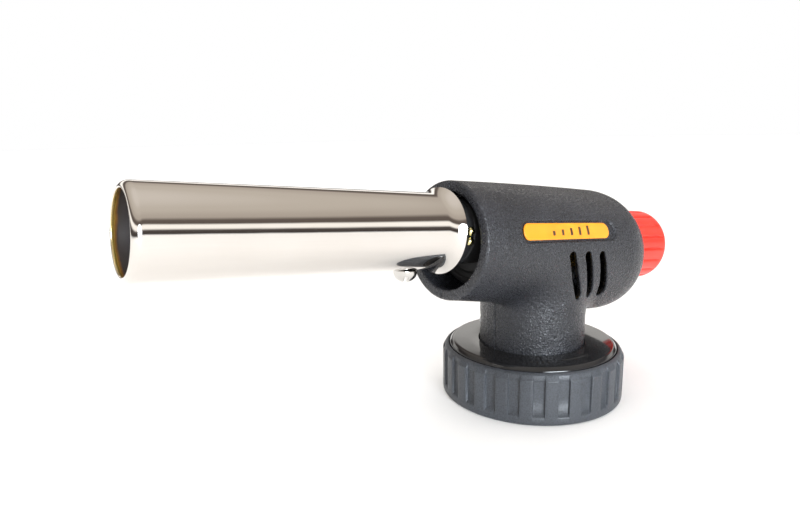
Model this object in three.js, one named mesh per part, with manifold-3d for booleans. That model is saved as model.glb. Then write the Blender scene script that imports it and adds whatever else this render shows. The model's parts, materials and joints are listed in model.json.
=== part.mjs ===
// Cartridge gas torch head: a chrome flame tube on a two-shell plastic housing, with a needle valve,
// a red gas knob and a ribbed lock collar that grips a gas cartridge.
// Millimetres. The origin is the centre of the collar's lower face, on the cartridge axis. +Z is up,
// +X is the way the flame leaves, and +Y is the torch's left side.

import * as THREE from 'three';
import { mergeVertices } from 'three/addons/utils/BufferGeometryUtils.js';
import Module from 'manifold-3d';

const wasm = await Module();
wasm.setup();

// ---------- driving dimensions ----------

const GAP = 0.3; // clearance between pieces that touch
const PAST = 1; // how far a cutting tool runs past the face it cuts

// The head is everything that lies along the flame: it is tilted nose up about the cartridge axis.
const TILT = THREE.MathUtils.degToRad(6);
const HEAD_HEIGHT = 48.4; // where the housing's axis crosses the cartridge axis
const TUBE_RISE = 2.7; // tube axis above the housing's axis, square to it
const SPINDLE_RISE = -2.5; // valve spindle and knob axis, the same way

// Housing, along the head's axis
const WALL = 2.0;
const HOUSING_FRONT = 36;
const FRONT_RADIUS = 16.3;
const BELLY = -23.5; // station of the fattest section, where the rear dome starts
const BELLY_RADIUS = 19.65;
const DOME_LENGTH = 18;
const DOME_FULLNESS = 0.89; // below 1 the dome is fuller than an ellipsoid
const DROP_SLOPE = 0.046; // the sections sink towards the rear, by a slope and a bend
const DROP_BEND = 0.0003;
const RIM_ROUND = 1.0;
const HOUSING_SIDES = 32; // facets round the head and the stem

// Stem of the housing
const STEM_RADIUS = 16.2;
const STEM_TOP_HALF_WIDTH = 17.9; // across Y, where the stem meets the housing's side
const STEM_STRAIGHT_TOP = 27;
const STEM_TOP = 46;
const FOOT_RADIUS = 19.9;
const FOOT_BOTTOM = 8.0;
const FOOT_TOP = 12.9;

// Screw sizes, and the posts and wells in the shells for the screws that hold them together
const SCREWS = {
  shell: { head: 2.6, height: 1.8, shank: 1.1, length: 18, sides: 10 },
  seat: { head: 2.5, height: 1.3, shank: 1.2, length: 5, sides: 10 },
  collar: { head: 1.4, height: 1.0, shank: 0.7, length: 4.6, sides: 8 },
  tube: { head: 3.3, height: 3.2, shank: 1.45, length: 4.4, sides: 16 },
};
const POST_RADIUS = 3.0;
const WELL_RADIUS = 3.0;
const WELL_WALL = 0.9;
const WELL_FLOOR = -9.5; // along Y, on the right side
const THREAD_HOLE_END = 11;
const SIDE_REACH = 25; // farther out than either side of the housing

// Lock collar and disc
const COLLAR_RADIUS = 28;
const COLLAR_INSIDE = 24.9;
const COLLAR_EDGE_ROUND = 2.2;
const COLLAR_BEVEL = 0.9;
const COLLAR_SHOULDER_Z = 13.4;
const COLLAR_TOP_Z = 15.4;
const RIB_COUNT = 25;
const RIB_DEPTH = 0.8;
const RECESS_DEGREES = 6.5;
const RECESS_BOTTOM_Z = 2.8;
const RECESS_PHASE = 0.23; // of one rib's pitch
const DISC_RADIUS = 25.9;
const DISC_TOP_RADIUS = 25.0;
const DISC_UNDER_Z = 13.2;
const DISC_TOP_Z = 16.6;
const LEDGE_RADIUS = 20.2;
const LEDGE_BOTTOM_Z = 9.2;
const LEDGE_TOP_Z = 11.5;
const WASHER_INSIDE = 21.2;
const WASHER_OUTSIDE = 24.6;
const WASHER_THICKNESS = 0.4;
const WASHER_WAVE = 0.32;
const SEAT_RADIUS = 21.3;
const SEAT_Z = 6.6;
const SEAT_THICKNESS = 1.0;
const KEY_SIZE = [1.2, 6, 2.6]; // the tab that a cartridge's notch drops over
const KEY_STATION = -19.6;
const BAYONET_Z = 3.4;
const BAYONET_THICKNESS = 1.0;
const BAYONET_RING_INSIDE = 21.4;
const LUG_RADIUS = 19.4;
const LUG_HALF_ANGLE = THREE.MathUtils.degToRad(13);
const thirds = [0, 120, 240];
const SEAT_SCREW_CIRCLE = 17.4;
const COLLAR_SCREW_CIRCLE = 23.0;

// Flame tube, along its own axis
const TUBE_RADIUS = 10.1;
const TUBE_WALL = 0.6;
const TUBE_REAR = 39;
const TUBE_FLARE = 1.5;
const TUBE_FLARE_LENGTH = 4.5;
const MUZZLE = 117.9;
const LIP_RADIUS = 2.0;
const LIP_DEGREES = 65;
const TUBE_SCREW_STATION = 49;

// Burner and valve, along the same axis
const HOLDER_BARREL_RADIUS = 9.2;
const HOLDER_FLANGE_RADIUS = 14.3;
const HOLDER_REAR = 24;
const HOLDER_FLANGE_THICKNESS = 3;
const HOLDER_FRONT = 55;
const MIXER_RADIUS = 5.6;
const MIXER_WALL = 0.7;
const BELL_RADIUS = 7.4;
const BELL_LENGTH = 5;
const MIXER_REAR = 13;
const MIXER_FRONT = 60;
const FLAME_HOLDER_LENGTH = 3.5;
const PORT_COUNT = 8;
const PORT_RADIUS = 1.2;
const PORT_CIRCLE = 5.9;
const CENTRE_PORT_RADIUS = 2.4;
const BLOCK_FRONT = 4;
const BLOCK_REAR = -14;
const BOSS_REAR = -26;
const SPINDLE_RADIUS = 2.0;
const INLET_RADIUS = 5.0;
const BLOCK_WIDTH = 13;
const BLOCK_DEPTH = 16;
const BOSS_RADIUS = 5.5;
const JET_BOSS_RADIUS = 4.6;
const STOP_FLANGE_RADIUS = 8; // on the inlet pipe, against the housing's foot
const RING_POCKET_RADIUS = 3.4;
const SEAT_HOLE_RADIUS = 1.0;
const INLET_BORE_RADIUS = 1.5;
const PASSAGE_RADIUS = 1.2;
const JET_THREAD_RADIUS = 2.2;
const SEAL_RADIUS = 3.4;
const SEAL_TOP = 11;
const FILTER_RADIUS = 2.6;
const FILTER_TOP = 13.5;
const NUT_RADIUS = 5.2;
const NUT_LENGTH = 3.7;

// Knob, along the spindle axis
const KNOB_RADIUS = 11.9;
const KNOB_FRONT = -34.3;
const KNOB_REAR = -55.3;
const FLUTE_COUNT = 18;
const FLUTE_DEPTH = 0.6;
const KNOB_BEVEL = 0.9;
const KNOB_DISH = 0.8;
const KNOB_DISH_RIM = 3.2;
const KNOB_END = 5.1; // solid end behind the spindle
const POCKET_RADIUS = 12.3; // round opening in the dome that the knob stands in
const POCKET_FLOOR = -33.2;

// Name plate and slots
const PLATE_SIZE = [35.4, 4.7]; // along the head, and across
const PLATE_STATION = 5.3;
const PLATE_CORNER = 2.1;
const RECESS_SIZE = [39.3, 5.9]; // the shallow recess that the plate lies in
const RECESS_STATION = 3.9;
const RECESS_CORNER = 2.7;
const PLATE_ANGLE = THREE.MathUtils.degToRad(20);
const PLATE_DEPTH = 0.6;
const PLATE_BED = 0.1; // clearance under the plate
const SLOT_WIDTH = 2.5;
const SLOT_DEEPEST = 9; // along Y, clear of the valve block

// Rivets at the back end of the tube holder
const RIVET_STATION = 35.7;
const RIVET_HEAD = 1.15;
const RIVET_SHANK = 0.55;
const RIVET_LENGTH = 2.2;
const rivetHeights = [0.9, -1.7];

// ---------- solids ----------

// A three.js geometry as a manifold solid, with shared vertices merged and its faces pointing out.
function solid(geometry) {
  const bare = geometry.clone();
  bare.deleteAttribute('normal');
  bare.deleteAttribute('uv');
  const merged = mergeVertices(bare, 1e-4);
  const position = merged.getAttribute('position');
  const source = Array.from(merged.index.array);
  const triangles = [];
  let volume = 0;
  const [a, b, c] = [new THREE.Vector3(), new THREE.Vector3(), new THREE.Vector3()];
  for (let i = 0; i < source.length; i += 3) {
    const [p, q, r] = source.slice(i, i + 3);
    if (p === q || q === r || r === p) continue;
    triangles.push([p, q, r]);
    a.fromBufferAttribute(position, p);
    b.fromBufferAttribute(position, q);
    c.fromBufferAttribute(position, r);
    volume += a.dot(b.cross(c));
  }
  if (volume < 0) triangles.forEach((corners) => corners.reverse());
  const mesh = new wasm.Mesh({
    numProp: 3,
    vertProperties: new Float32Array(position.array),
    triVerts: new Uint32Array(triangles.flat()),
  });
  return new wasm.Manifold(mesh);
}

function geometryOf(body) {
  const mesh = body.getMesh();
  const geometry = new THREE.BufferGeometry();
  geometry.setAttribute('position', new THREE.BufferAttribute(mesh.vertProperties.slice(), 3));
  geometry.setIndex(new THREE.BufferAttribute(mesh.triVerts.slice(), 1));
  geometry.computeVertexNormals();
  return geometry;
}

function union(bodies) {
  return bodies.reduce((sum, body) => sum.add(body));
}

function cut(body, tools) {
  return tools.reduce((rest, tool) => rest.subtract(tool), body);
}

const headFrame = new THREE.Matrix4()
  .makeTranslation(0, 0, HEAD_HEIGHT)
  .multiply(new THREE.Matrix4().makeRotationY(-TILT));

// ---------- shapes ----------

// A profile of [radius, height] points turned about Z.
function turned(profile, segments = 36) {
  const points = profile.map(([radius, height]) => new THREE.Vector2(radius, height));
  return new THREE.LatheGeometry(points, segments).rotateX(Math.PI / 2);
}

// The same about X, for a piece that lies along the head.
function turnedAlongX(profile, segments = 36) {
  return turned(profile, segments).rotateY(Math.PI / 2);
}

// A ring's closed profile between two heights.
function ringProfile(inner, outer, low, high) {
  return [[inner, low], [outer, low], [outer, high], [inner, high], [inner, low]];
}

function rodProfile(radius, low, high) {
  return [[0, low], [radius, low], [radius, high], [0, high]];
}

function rod(radius, low, high, segments = 18) {
  return turned(rodProfile(radius, low, high), segments);
}

function rodAlongX(radius, low, high, segments = 18) {
  return turnedAlongX(rodProfile(radius, low, high), segments);
}

// A rod along Y, through the point (x, z).
function rodAlongY(radius, low, high, x, z, segments = 12) {
  return rod(radius, low, high, segments).rotateX(-Math.PI / 2).translate(x, 0, z);
}

function arcPoints(centreRadius, centreHeight, radius, fromDegrees, toDegrees, steps) {
  return Array.from({ length: steps + 1 }, (_, i) => {
    const angle = THREE.MathUtils.degToRad(fromDegrees + ((toDegrees - fromDegrees) * i) / steps);
    return [centreRadius + radius * Math.cos(angle), centreHeight + radius * Math.sin(angle)];
  });
}

function polar(radius, degrees) {
  const angle = THREE.MathUtils.degToRad(degrees);
  return [radius * Math.cos(angle), radius * Math.sin(angle)];
}

// A round-cornered bar of a length and width, standing on the XZ plane and extruded along Y.
function barAlongY([length, width], corner, low, high) {
  const shape = new THREE.Shape();
  const [x, z] = [length / 2 - corner, width / 2 - corner];
  shape.absarc(x, -z, corner, -Math.PI / 2, 0, false);
  shape.absarc(x, z, corner, 0, Math.PI / 2, false);
  shape.absarc(-x, z, corner, Math.PI / 2, Math.PI, false);
  shape.absarc(-x, -z, corner, Math.PI, (3 * Math.PI) / 2, false);
  const options = { depth: high - low, bevelEnabled: false, curveSegments: 3 };
  return new THREE.ExtrudeGeometry(shape, options).rotateX(Math.PI / 2).translate(0, high, 0);
}

// ---------- housing ----------

function housingDrop(station) {
  const behindRim = HOUSING_FRONT - station;
  return DROP_SLOPE * behindRim + DROP_BEND * behindRim * behindRim;
}

function housingRadius(station) {
  const behindRim = (HOUSING_FRONT - station) / (HOUSING_FRONT - BELLY);
  return FRONT_RADIUS + (BELLY_RADIUS - FRONT_RADIUS) * behindRim;
}

// The egg-shaped head of the housing in the head's frame. An inset makes the same shape, smaller.
function headLoft(inset, front) {
  const profile = [];
  const domeLength = DOME_LENGTH - inset;
  const domeSteps = inset > 0 ? 5 : 7;
  for (let i = 0; i <= domeSteps; i += 1) {
    const angle = (i / domeSteps) * (Math.PI / 2);
    const radius = (BELLY_RADIUS - inset) * Math.sin(angle) ** DOME_FULLNESS;
    profile.push([radius, BELLY - domeLength * Math.max(0, Math.cos(angle)) ** DOME_FULLNESS]);
  }
  for (const station of [-4, 16]) profile.push([housingRadius(station) - inset, station]);
  const round = inset === 0 ? RIM_ROUND : 0;
  profile.push([housingRadius(front - round) - inset, front - round]);
  if (round > 0) profile.push([FRONT_RADIUS - round * 0.3, front - round * 0.3]);
  if (round > 0) profile.push([FRONT_RADIUS - round, front]);
  profile.push([0, front]);
  const geometry = turnedAlongX(profile, HOUSING_SIDES);
  const position = geometry.getAttribute('position');
  for (let i = 0; i < position.count; i += 1) {
    position.setZ(i, position.getZ(i) - housingDrop(position.getX(i)));
  }
  return geometry;
}

// The stem: round below, and widened across Y above until its sides run into the head's sides.
function stemLoft(inset) {
  const heights = [FOOT_BOTTOM, STEM_STRAIGHT_TOP, 34, 39, STEM_TOP];
  const profile = [[0, FOOT_BOTTOM]];
  for (const height of heights) profile.push([STEM_RADIUS - inset, height]);
  profile.push([0, STEM_TOP]);
  const geometry = turned(profile, HOUSING_SIDES);
  const position = geometry.getAttribute('position');
  for (let i = 0; i < position.count; i += 1) {
    const rise = (position.getZ(i) - STEM_STRAIGHT_TOP) / (STEM_TOP - STEM_STRAIGHT_TOP);
    const eased = THREE.MathUtils.smoothstep(rise, 0, 1);
    const widening = (STEM_TOP_HALF_WIDTH / STEM_RADIUS - 1) * eased;
    position.setY(i, position.getY(i) * (1 + widening));
  }
  return geometry;
}

function headSolid(inset, front) {
  return solid(headLoft(inset, front).applyMatrix4(headFrame));
}

function housingBody(inset, front) {
  return headSolid(inset, front).add(solid(stemLoft(inset)));
}

// Screws that hold the two shells together run along Y: [x, z].
const shellScrews = [[10.4, 22.5], [19.5, 39], [-21.5, 55.2], [-24.5, 33]];
const seatScrewAngles = [50, 130, -50, -130];

// Slots in each side, as [top x, top z, bottom x, bottom z].
const slots = [
  [4.3, 47.1, -1.2, 32.9],
  [-2.2, 46.4, -7.7, 32.0],
  [-8.5, 45.7, -14.1, 31.2],
];

function slotTool([topX, topZ, bottomX, bottomZ], side) {
  const length = Math.hypot(topX - bottomX, topZ - bottomZ);
  const lean = Math.atan2(topZ - bottomZ, topX - bottomX);
  const [low, high] = side > 0 ? [SLOT_DEEPEST, SIDE_REACH] : [-SIDE_REACH, -SLOT_DEEPEST];
  return barAlongY([length, SLOT_WIDTH], SLOT_WIDTH * 0.49, low, high)
    .rotateY(-lean)
    .translate((topX + bottomX) / 2, 0, (topZ + bottomZ) / 2);
}

// The prism that cuts the name plate, or the recess for it, out of the housing's skin.
function plateTool(size, corner, station) {
  return barAlongY(size, corner, STEM_RADIUS - 6, STEM_RADIUS + 9)
    .rotateX(PLATE_ANGLE)
    .translate(station, 0, -housingDrop(station))
    .applyMatrix4(headFrame);
}

function skin(outerInset, innerInset) {
  return headSolid(outerInset, HOUSING_FRONT).subtract(headSolid(innerInset, HOUSING_FRONT + PAST));
}

// Both shells as one body, before they are parted.
function wholeHousing() {
  const outside = housingBody(0, HOUSING_FRONT);
  const inside = housingBody(WALL, HOUSING_FRONT + PAST);
  const footProfile = ringProfile(STEM_RADIUS - WALL, FOOT_RADIUS, FOOT_BOTTOM, FOOT_TOP);
  const foot = solid(turned(footProfile, HOUSING_SIDES));
  const onSpindle = (radius, low, high, segments) => solid(
    rodAlongX(radius, low, high, segments).translate(0, 0, SPINDLE_RISE).applyMatrix4(headFrame),
  );
  const floorEnd = POCKET_FLOOR + WALL;
  const floor = onSpindle(FRONT_RADIUS, POCKET_FLOOR, floorEnd, HOUSING_SIDES).intersect(outside);
  const pocket = onSpindle(POCKET_RADIUS, BELLY - DOME_LENGTH * 2, POCKET_FLOOR, HOUSING_SIDES);
  const spindleHole = onSpindle(SPINDLE_RADIUS + 1, POCKET_FLOOR - PAST, floorEnd + PAST, 12);
  const bore = solid(rod(STEM_RADIUS - WALL, FOOT_BOTTOM - PAST, FOOT_BOTTOM + WALL, HOUSING_SIDES));
  const footHoles = seatScrewAngles.map((degrees) => {
    const [x, y] = polar(SEAT_SCREW_CIRCLE, degrees);
    const radius = SCREWS.seat.shank + GAP;
    return solid(rod(radius, FOOT_BOTTOM - PAST, FOOT_TOP - 0.6, 8).translate(x, y, 0));
  });
  const recessTool = solid(plateTool(RECESS_SIZE, RECESS_CORNER, RECESS_STATION));
  const plateRecess = skin(-1, PLATE_DEPTH).intersect(recessTool);
  const shell = cut(outside, [inside]).add(foot).add(floor);
  return { outside, shell: cut(shell, [pocket, spindleHole, bore, ...footHoles, plateRecess]) };
}

// The half-space of one side, half a gap clear of the parting plane.
function sideBlock(side) {
  const size = 200;
  return solid(new THREE.BoxGeometry(size, size, size).translate(0, side * (size / 2 + GAP / 2), 0));
}

const whole = wholeHousing();

function leftShell() {
  const hole = SCREWS.shell.shank + GAP;
  const posts = shellScrews.map(([x, z]) => solid(rodAlongY(POST_RADIUS, GAP / 2, SIDE_REACH, x, z)));
  const holes = shellScrews.map(([x, z]) => solid(rodAlongY(hole, -PAST, THREAD_HOLE_END, x, z, 8)));
  const slotTools = slots.map((slot) => solid(slotTool(slot, 1)));
  const body = whole.shell.add(union(posts).intersect(whole.outside));
  return cut(body.intersect(sideBlock(1)), [...slotTools, ...holes]);
}

function rightShell() {
  const hole = SCREWS.shell.shank + 2 * GAP;
  const post = WELL_RADIUS + WELL_WALL;
  const posts = shellScrews.map(([x, z]) => solid(rodAlongY(post, -SIDE_REACH, -GAP / 2, x, z)));
  const holes = shellScrews.map(([x, z]) => solid(rodAlongY(hole, -SIDE_REACH, PAST, x, z, 8)));
  const heads = shellScrews.map(([x, z]) => (
    solid(rodAlongY(WELL_RADIUS, -SIDE_REACH, WELL_FLOOR, x, z))
  ));
  const slotTools = slots.map((slot) => solid(slotTool(slot, -1)));
  const body = whole.shell.add(union(posts).intersect(whole.outside));
  return cut(body.intersect(sideBlock(-1)), [...slotTools, ...holes, ...heads]);
}

function namePlate() {
  const tool = solid(plateTool(PLATE_SIZE, PLATE_CORNER, PLATE_STATION));
  return skin(0, PLATE_DEPTH - PLATE_BED).intersect(tool);
}

// ---------- lock collar, disc and cartridge socket ----------

function lockCollar() {
  const wallInside = COLLAR_SCREW_CIRCLE - 1.1;
  const round = COLLAR_EDGE_ROUND;
  const edge = arcPoints(COLLAR_RADIUS - round, round, round, -90, 0, 2);
  const profile = [
    [COLLAR_INSIDE, 0],
    ...edge,
    [COLLAR_RADIUS, COLLAR_SHOULDER_Z],
    [COLLAR_RADIUS - COLLAR_BEVEL, COLLAR_TOP_Z - 0.5],
    [DISC_RADIUS + GAP, COLLAR_TOP_Z],
    [DISC_RADIUS + GAP, LEDGE_TOP_Z],
    [LEDGE_RADIUS, LEDGE_TOP_Z],
    [LEDGE_RADIUS, LEDGE_BOTTOM_Z],
    [wallInside, LEDGE_BOTTOM_Z],
    [wallInside, BAYONET_Z + BAYONET_THICKNESS + GAP],
    [COLLAR_INSIDE, BAYONET_Z + BAYONET_THICKNESS + GAP],
    [COLLAR_INSIDE, 0],
  ];
  const recessWidth = 2 * COLLAR_RADIUS * Math.sin(THREE.MathUtils.degToRad(RECESS_DEGREES / 2));
  const recessHeight = COLLAR_SHOULDER_Z - 0.5 - RECESS_BOTTOM_Z;
  const recesses = Array.from({ length: RIB_COUNT }, (_, i) => {
    const angle = ((i + RECESS_PHASE) / RIB_COUNT) * 2 * Math.PI;
    const box = new THREE.BoxGeometry(2 * RIB_DEPTH, recessWidth, recessHeight);
    box.translate(COLLAR_RADIUS, 0, RECESS_BOTTOM_Z + recessHeight / 2);
    return solid(box.rotateZ(angle));
  });
  const holes = thirds.map((degrees) => {
    const [x, y] = polar(COLLAR_SCREW_CIRCLE, degrees);
    const top = BAYONET_Z + SCREWS.collar.length + 2 * GAP;
    return solid(rod(SCREWS.collar.shank + 0.25, BAYONET_Z, top, 8).translate(x, y, 0));
  });
  return cut(solid(turned(profile, 2 * RIB_COUNT)), [...recesses, ...holes]);
}

function topDisc() {
  const inside = STEM_RADIUS + GAP + 0.1;
  const profile = [
    [inside, DISC_UNDER_Z],
    [DISC_RADIUS - 1, DISC_UNDER_Z],
    [DISC_RADIUS, DISC_UNDER_Z + 0.8],
    [DISC_RADIUS, DISC_TOP_Z - 0.9],
    [DISC_TOP_RADIUS, DISC_TOP_Z],
    [inside, DISC_TOP_Z],
    [inside, DISC_UNDER_Z],
  ];
  return solid(turned(profile, 50));
}

// A thin wave washer that keeps the collar from turning by itself.
function waveWasher() {
  const half = WASHER_THICKNESS / 2;
  const geometry = turned(ringProfile(WASHER_INSIDE, WASHER_OUTSIDE, -half, half), 32);
  const position = geometry.getAttribute('position');
  for (let i = 0; i < position.count; i += 1) {
    const angle = Math.atan2(position.getY(i), position.getX(i));
    position.setZ(i, position.getZ(i) + WASHER_WAVE * Math.sin(4 * angle));
  }
  return solid(geometry.translate(0, 0, (LEDGE_TOP_Z + DISC_UNDER_Z) / 2));
}

function seatPlate() {
  const top = SEAT_Z + SEAT_THICKNESS;
  const disc = solid(turned(ringProfile(INLET_RADIUS - 1, SEAT_RADIUS, SEAT_Z, top), 32));
  const keyCentre = top - 0.5 - KEY_SIZE[2] / 2;
  const key = solid(new THREE.BoxGeometry(...KEY_SIZE).translate(KEY_STATION, 0, keyCentre));
  const holes = seatScrewAngles.map((degrees) => {
    const [x, y] = polar(SEAT_SCREW_CIRCLE, degrees);
    return solid(rod(SCREWS.seat.shank + GAP, SEAT_Z - PAST, top + PAST, 8).translate(x, y, 0));
  });
  return cut(disc.add(key), holes);
}

// A ring under the collar with three lugs that close over the cartridge's flange.
function bayonetPlate() {
  const high = BAYONET_Z + BAYONET_THICKNESS;
  const ringShape = ringProfile(BAYONET_RING_INSIDE, COLLAR_INSIDE - GAP, BAYONET_Z, high);
  const ring = solid(turned(ringShape, 36));
  const lugShape = new THREE.Shape();
  lugShape.absarc(0, 0, BAYONET_RING_INSIDE + 0.6, -LUG_HALF_ANGLE, LUG_HALF_ANGLE, false);
  lugShape.absarc(0, 0, LUG_RADIUS, LUG_HALF_ANGLE, -LUG_HALF_ANGLE, true);
  const lugOptions = { depth: BAYONET_THICKNESS, bevelEnabled: false, curveSegments: 3 };
  const lugs = thirds.map((degrees) => {
    const lug = new THREE.ExtrudeGeometry(lugShape, lugOptions).translate(0, 0, BAYONET_Z);
    return solid(lug.rotateZ(THREE.MathUtils.degToRad(degrees + 60)));
  });
  const holes = thirds.map((degrees) => {
    const [x, y] = polar(COLLAR_SCREW_CIRCLE, degrees);
    const radius = SCREWS.collar.shank + GAP;
    return solid(rod(radius, BAYONET_Z - PAST, high + PAST, 8).translate(x, y, 0));
  });
  return cut(union([ring, ...lugs]), holes);
}

// A pan-head screw standing on Z: its head's flat underside is at zero and its shank goes up.
function panScrew({ head: radius, height, shank, length, sides }) {
  const round = height * 0.6;
  const dome = arcPoints(radius - round, round - height, round, -90, 0, 2);
  const profile = [[0, -height], ...dome, [radius, 0], [shank, 0], [shank, length], [0, length]];
  return solid(turned(profile, sides));
}

// ---------- burner, in the head's frame with the tube's axis on X ----------

function flameTube() {
  const lip = THREE.MathUtils.degToRad(LIP_DEGREES);
  const lipCentre = MUZZLE - LIP_RADIUS * Math.sin(lip);
  const flare = [0, 0.4, 0.75, 1].map((t) => {
    const widening = TUBE_FLARE * (1 - t) * (1 - t);
    return [TUBE_RADIUS + widening, TUBE_REAR + TUBE_FLARE_LENGTH * t];
  });
  const lipAxis = TUBE_RADIUS - LIP_RADIUS;
  const outer = [...flare, ...arcPoints(lipAxis, lipCentre, LIP_RADIUS, 0, LIP_DEGREES, 4)];
  const inner = [...flare, ...arcPoints(lipAxis, lipCentre, LIP_RADIUS - TUBE_WALL, 0, LIP_DEGREES, 3)];
  const inside = inner.map(([r, u], i) => (i < flare.length ? [r - TUBE_WALL, u] : [r, u])).reverse();
  const profile = [...outer, ...inside, outer[0]];
  const holeRadius = SCREWS.tube.shank + 0.55;
  const hole = solid(rod(holeRadius, -TUBE_RADIUS - PAST, 0, 12).translate(TUBE_SCREW_STATION, 0, 0));
  return solid(turnedAlongX(profile, 32)).subtract(hole);
}

// The cast holder: a flange clamped in the housing and a barrel that the flame tube slides over.
function tubeHolder() {
  const flangeFront = HOLDER_REAR + HOLDER_FLANGE_THICKNESS;
  const flangeRise = -TUBE_RISE - housingDrop((HOLDER_REAR + flangeFront) / 2);
  const plate = rodAlongX(HOLDER_FLANGE_RADIUS, HOLDER_REAR, flangeFront, 30);
  const flange = solid(plate.translate(0, 0, flangeRise));
  const barrel = solid(rodAlongX(HOLDER_BARREL_RADIUS, HOLDER_REAR, HOLDER_FRONT, 28));
  const bore = solid(rodAlongX(MIXER_RADIUS + GAP, HOLDER_REAR - PAST, HOLDER_FRONT + PAST, 24));
  const screwHoleRadius = SCREWS.tube.shank + GAP;
  const screwHole = solid(rod(screwHoleRadius, -TUBE_RADIUS, 0, 10).translate(TUBE_SCREW_STATION, 0, 0));
  const rivetHoles = rivetHeights.map((height) => (
    solid(rodAlongY(RIVET_SHANK + 0.2, MIXER_RADIUS, TUBE_RADIUS, RIVET_STATION, height, 8))
  ));
  return cut(flange.add(barrel), [bore, screwHole, ...rivetHoles]);
}

function holderRivet(height) {
  const seat = Math.sqrt(HOLDER_BARREL_RADIUS ** 2 - height ** 2) + 0.15;
  const dome = arcPoints(0, 0, RIVET_HEAD, 0, 90, 2);
  const profile = [[0, -RIVET_LENGTH], [RIVET_SHANK, -RIVET_LENGTH], [RIVET_SHANK, 0], ...dome];
  return solid(turned(profile, 10).rotateX(-Math.PI / 2).translate(RIVET_STATION, seat, height));
}

function mixingTube() {
  const bellEnd = MIXER_REAR + BELL_LENGTH;
  const profile = [
    [MIXER_RADIUS, bellEnd],
    [MIXER_RADIUS, MIXER_FRONT],
    [MIXER_RADIUS - MIXER_WALL, MIXER_FRONT],
    [MIXER_RADIUS - MIXER_WALL, bellEnd],
    [BELL_RADIUS - MIXER_WALL - 0.1, MIXER_REAR],
    [BELL_RADIUS, MIXER_REAR],
    [MIXER_RADIUS, bellEnd],
  ];
  return solid(turnedAlongX(profile, 24));
}

function flameHolder() {
  const low = MIXER_FRONT + GAP;
  const high = low + FLAME_HOLDER_LENGTH;
  const disc = solid(rodAlongX(TUBE_RADIUS - TUBE_WALL - GAP, low, high, 28));
  const centre = solid(rodAlongX(CENTRE_PORT_RADIUS, low - PAST, high + PAST, 12));
  const ports = Array.from({ length: PORT_COUNT }, (_, i) => {
    const [y, z] = polar(PORT_CIRCLE, (i * 360) / PORT_COUNT);
    return solid(rodAlongX(PORT_RADIUS, low - PAST, high + PAST, 8).translate(0, y, z));
  });
  return cut(disc, [centre, ...ports]);
}

function jetNozzle() {
  const face = BLOCK_FRONT + 1 + GAP;
  const rear = BLOCK_FRONT - 2.8;
  const [bore, thread, collar, tip] = [0.6, JET_THREAD_RADIUS, 3.5, 1.4];
  const [collarEnd, tipEnd] = [face + 3, face + 7];
  const profile = [
    [bore, rear],
    [thread, rear],
    [thread, face],
    [collar, face],
    [collar, collarEnd],
    [tip, tipEnd],
    [bore, tipEnd],
    [bore, rear],
  ];
  return solid(turnedAlongX(profile, 14));
}

// ---------- valve ----------

// A block for the jet and the spindle on the inlet pipe, in the part's own frame.
function valveBody() {
  const inHead = (geometry, rise) => solid(geometry.translate(0, 0, rise).applyMatrix4(headFrame));
  const block = new THREE.BoxGeometry(BLOCK_FRONT - BLOCK_REAR, BLOCK_WIDTH, BLOCK_DEPTH);
  block.translate((BLOCK_FRONT + BLOCK_REAR) / 2, 0, 0);
  const low = SEAT_Z + SEAT_THICKNESS + GAP;
  const solids = union([
    inHead(block, 0),
    inHead(rodAlongX(BOSS_RADIUS, BOSS_REAR, BLOCK_REAR + PAST), SPINDLE_RISE),
    inHead(rodAlongX(JET_BOSS_RADIUS, BLOCK_FRONT - PAST, BLOCK_FRONT + 1), TUBE_RISE),
    solid(rod(INLET_RADIUS, low, HEAD_HEIGHT - 6)),
    solid(rod(STOP_FLANGE_RADIUS, 12.2, 14.2)),
  ]);
  const chamber = BOSS_REAR + 14;
  const throat = BOSS_REAR + 17;
  return cut(solids, [
    inHead(rodAlongX(SPINDLE_RADIUS + GAP, BOSS_REAR - PAST, throat, 12), SPINDLE_RISE),
    inHead(rodAlongX(RING_POCKET_RADIUS, BOSS_REAR - PAST, BOSS_REAR + 2.5, 14), SPINDLE_RISE),
    inHead(rodAlongX(SEAT_HOLE_RADIUS, throat - PAST, 0, 8), SPINDLE_RISE),
    solid(rod(INLET_BORE_RADIUS, low - PAST, HEAD_HEIGHT + SPINDLE_RISE, 8)),
    solid(rod(FILTER_RADIUS + GAP, low - PAST, FILTER_TOP + GAP, 14)),
    solid(rod(SEAL_RADIUS + GAP, low - PAST, SEAL_TOP + GAP, 14)),
    inHead(rod(SEAT_HOLE_RADIUS, SPINDLE_RISE, TUBE_RISE, 8).translate(chamber, 0, 0), 0),
    inHead(rodAlongX(PASSAGE_RADIUS, chamber - PAST, BLOCK_FRONT, 8), TUBE_RISE),
    inHead(rodAlongX(JET_THREAD_RADIUS + GAP, 0.8, BLOCK_FRONT + 2, 12), TUBE_RISE),
  ]);
}

function glandNut() {
  const front = BOSS_REAR - GAP;
  const rear = front - NUT_LENGTH;
  const hexagon = solid(rodAlongX(NUT_RADIUS, rear, front, 6));
  return hexagon.subtract(solid(rodAlongX(SPINDLE_RADIUS + GAP, rear - PAST, front + PAST, 12)));
}

function spindle() {
  const tip = BOSS_REAR + 16.6;
  const rear = KNOB_REAR + KNOB_END + 0.4;
  const profile = [
    [0, rear],
    [SPINDLE_RADIUS, rear],
    [SPINDLE_RADIUS, tip - 3.4],
    [1.2, tip - 2.6],
    [0.3, tip],
    [0, tip],
  ];
  return solid(turnedAlongX(profile, 12));
}

function inletSeal() {
  return solid(turned(ringProfile(SEAL_RADIUS / 2, SEAL_RADIUS, SEAL_TOP - 2.8, SEAL_TOP), 12));
}

function inletFilter() {
  return solid(rod(FILTER_RADIUS, FILTER_TOP - 1.9, FILTER_TOP, 12));
}

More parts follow.
